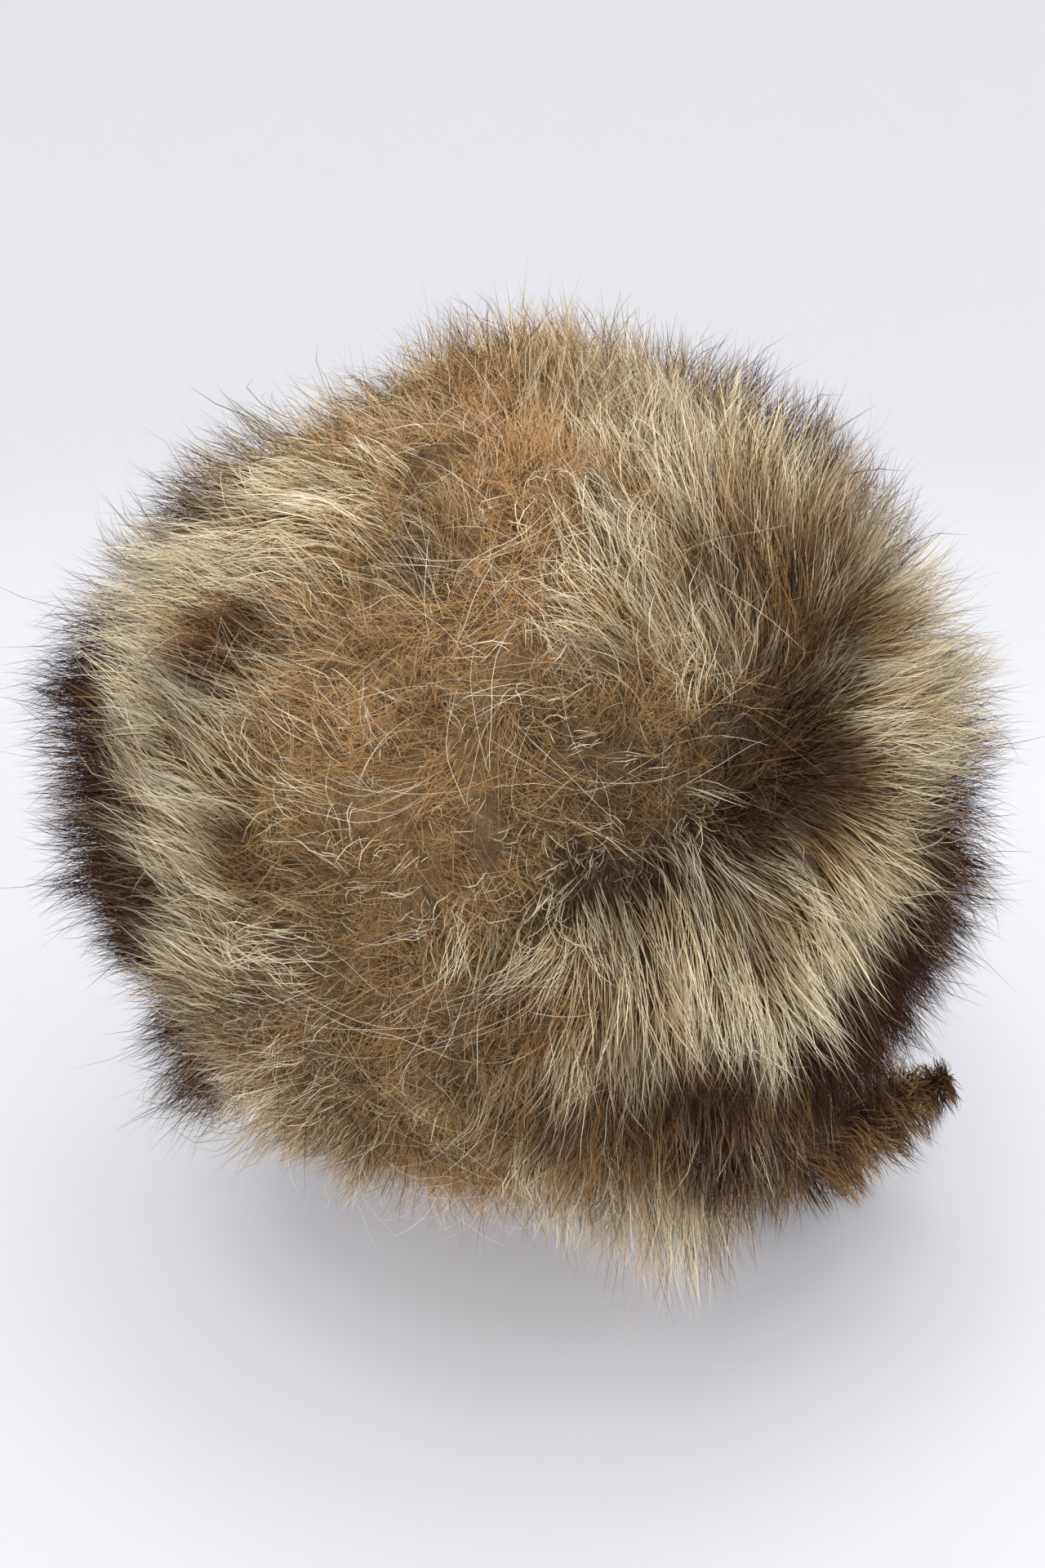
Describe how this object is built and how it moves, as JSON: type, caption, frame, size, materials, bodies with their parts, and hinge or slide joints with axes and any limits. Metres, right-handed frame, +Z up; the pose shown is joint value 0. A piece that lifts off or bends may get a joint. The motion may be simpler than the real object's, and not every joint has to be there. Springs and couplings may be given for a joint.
{
  "type": "fur hood",
  "caption": "Deep-fur hood on a sewn leather pelt, open at the face and the neck, with a ringed tail hanging from its neck edge.",
  "frame": {"origin": "inside of the crown, where the top of the head touches", "axes": "+Z up, +Y the way the wearer faces, +X the wearer's right"},
  "size_m": [0.3472, 0.301, 0.3455],
  "materials": {
    "pelt_leather": "matte suede",
    "fur_left": "long hair",
    "fur_right_upper": "long hair",
    "fur_right_lower": "long hair",
    "fur_band": "long hair",
    "fur_tail": "long hair in rings"
  },
  "bodies": {
    "root": {"pelt_shell": "pelt_leather", "fur_left_panel": "fur_left", "fur_right_upper_panel": "fur_right_upper", "fur_right_lower_panel": "fur_right_lower", "fur_nape_band": "fur_band", "ringed_tail": "fur_tail"}
  },
  "joints": []
}
